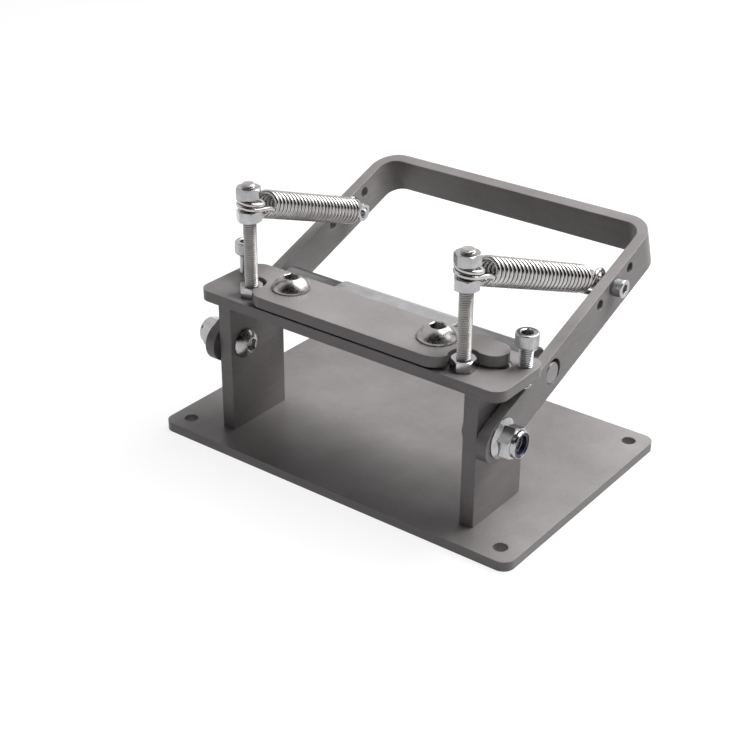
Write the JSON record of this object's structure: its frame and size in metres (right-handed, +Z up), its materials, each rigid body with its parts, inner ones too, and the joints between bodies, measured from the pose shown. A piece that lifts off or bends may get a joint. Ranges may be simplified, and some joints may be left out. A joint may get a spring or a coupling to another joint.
{
  "type": "leather strap splitter",
  "caption": "Bench strap splitter: a fixed blade under a clamp plate on a steel frame, with a roller in a hinged, spring-loaded U handle below the blade's edge.",
  "frame": {"origin": "centre of the base plate's underside, on the bench", "axes": "+X to the right along the blade, +Y to the rear towards the handle's cross bar, +Z up"},
  "size_m": [0.191, 0.1523, 0.1249],
  "materials": {
    "plate_steel": "bead-blasted, satin, mid grey",
    "fastener_steel": "bright stainless",
    "spring_wire": "polished wire",
    "ground_steel": "ground and turned",
    "nylon_ring": "blue nylon"
  },
  "bodies": {
    "frame": {"base_plate": "plate_steel", "left_upright": "plate_steel", "right_upright": "plate_steel", "base_screws": "fastener_steel", "top_plate": "plate_steel", "top_plate_screws": "fastener_steel", "blade": "ground_steel", "clamp_plate": "plate_steel", "clamp_screws": "fastener_steel", "left_stud": "fastener_steel", "right_stud": "fastener_steel", "stud_base_nuts": "fastener_steel", "lower_spring_nuts": "fastener_steel", "upper_spring_nuts": "fastener_steel", "left_pivot_screw": "fastener_steel", "right_pivot_screw": "fastener_steel", "pivot_washers": "fastener_steel", "pivot_lock_nuts": "fastener_steel", "lock_nut_inserts": "nylon_ring"},
    "handle": {"handle": "plate_steel", "roller_shaft": "ground_steel", "shaft_rings": "fastener_steel", "left_spring_screw": "fastener_steel", "right_spring_screw": "fastener_steel", "spring_screw_nuts": "fastener_steel"},
    "roller": {"roller": "ground_steel"},
    "left_spring": {"left_spring": "spring_wire"},
    "left_hook": {"left_spring_hook": "spring_wire"},
    "right_spring": {"right_spring": "spring_wire"},
    "right_hook": {"right_spring_hook": "spring_wire"},
    "left_adjuster": {"left_adjusting_screw": "fastener_steel"},
    "right_adjuster": {"right_adjusting_screw": "fastener_steel"}
  },
  "joints": [
    {"name": "handle_hinge", "type": "hinge", "parent": "frame", "child": "handle", "pos_m": [0, -0.0405, 0.0462], "axis": [-1, 0, 0], "range_deg": [0, 34], "stiffness_Nm_per_rad": 10, "springref_deg": -11.46, "deforming": ["left_spring", "left_spring_hook", "right_spring", "right_spring_hook"]},
    {"name": "roller_spin", "type": "hinge", "parent": "handle", "child": "roller", "pos_m": [0, -0.0031, 0.0602], "axis": [1, 0, 0], "continuous": true},
    {"name": "left_adjuster_travel", "type": "slide", "parent": "frame", "child": "left_adjuster", "axis": [0, 0, 1], "range_m": [0, 0.005]},
    {"name": "right_adjuster_travel", "type": "slide", "parent": "frame", "child": "right_adjuster", "axis": [0, 0, 1], "range_m": [0, 0.005]},
    {"name": "left_spring_swing", "type": "hinge", "parent": "frame", "child": "left_spring", "pos_m": [-0.0566, -0.04022, 0.11545], "axis": [-1, 0, 0], "range_deg": [0, 22.8], "deforming": ["left_spring", "left_spring_hook"]},
    {"name": "left_spring_stretch", "type": "slide", "parent": "left_spring", "child": "left_hook", "axis": [0, 0.9339, -0.3575], "range_m": [0, 0.0345], "deforming": ["left_spring", "left_spring_hook"]},
    {"name": "right_spring_swing", "type": "hinge", "parent": "frame", "child": "right_spring", "pos_m": [0.0566, -0.04022, 0.11545], "axis": [-1, 0, 0], "range_deg": [0, 22.8], "deforming": ["right_spring", "right_spring_hook"]},
    {"name": "right_spring_stretch", "type": "slide", "parent": "right_spring", "child": "right_hook", "axis": [0, 0.9339, -0.3575], "range_m": [0, 0.0345], "deforming": ["right_spring", "right_spring_hook"]}
  ],
  "couplings": [
    {"joint": "left_spring_swing", "follows": "handle_hinge", "ratio": 0.6658},
    {"joint": "right_spring_swing", "follows": "handle_hinge", "ratio": 0.6658},
    {"joint": "left_spring_stretch", "follows": "handle_hinge", "m_per_rad": 0.05813},
    {"joint": "right_spring_stretch", "follows": "handle_hinge", "m_per_rad": 0.05813}
  ]
}
